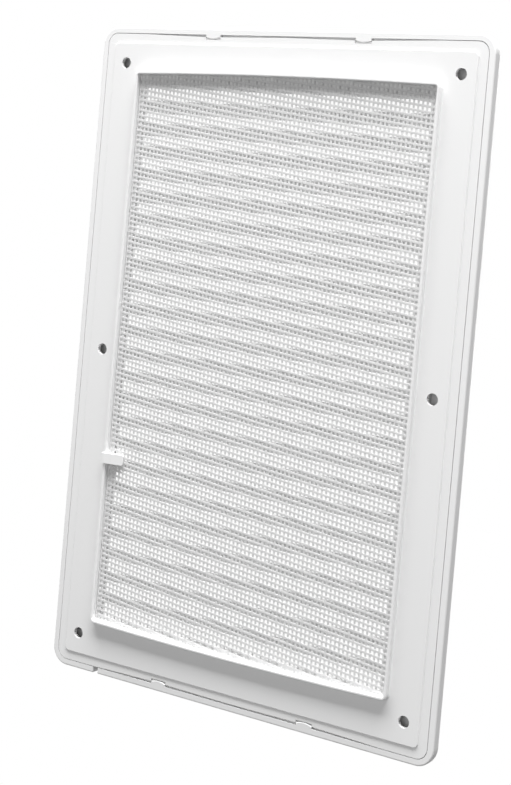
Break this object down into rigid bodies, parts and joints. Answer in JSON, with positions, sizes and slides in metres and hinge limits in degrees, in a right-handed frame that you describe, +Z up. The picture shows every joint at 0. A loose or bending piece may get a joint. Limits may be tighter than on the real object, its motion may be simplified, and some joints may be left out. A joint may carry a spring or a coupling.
{
  "type": "louvre vent",
  "caption": "Rectangular wall vent: a louvre cover clipped over a screw-on mounting frame whose duct collar carries an insect mesh.",
  "frame": {"origin": "centre of the mounting frame's six screw holes, in the plane of its back face, which lies on the wall", "axes": "+Z up the wall, +Y into the wall and the duct, X across; the louvres face -Y and slope down towards it"},
  "size_m": [0.2, 0.0116, 0.3],
  "materials": {
    "white_plastic": "satin",
    "mesh_thread": "matte"
  },
  "bodies": {
    "root": {"louvre_cover": "white_plastic", "mounting_frame": "white_plastic", "insect_mesh": "mesh_thread"}
  },
  "joints": []
}
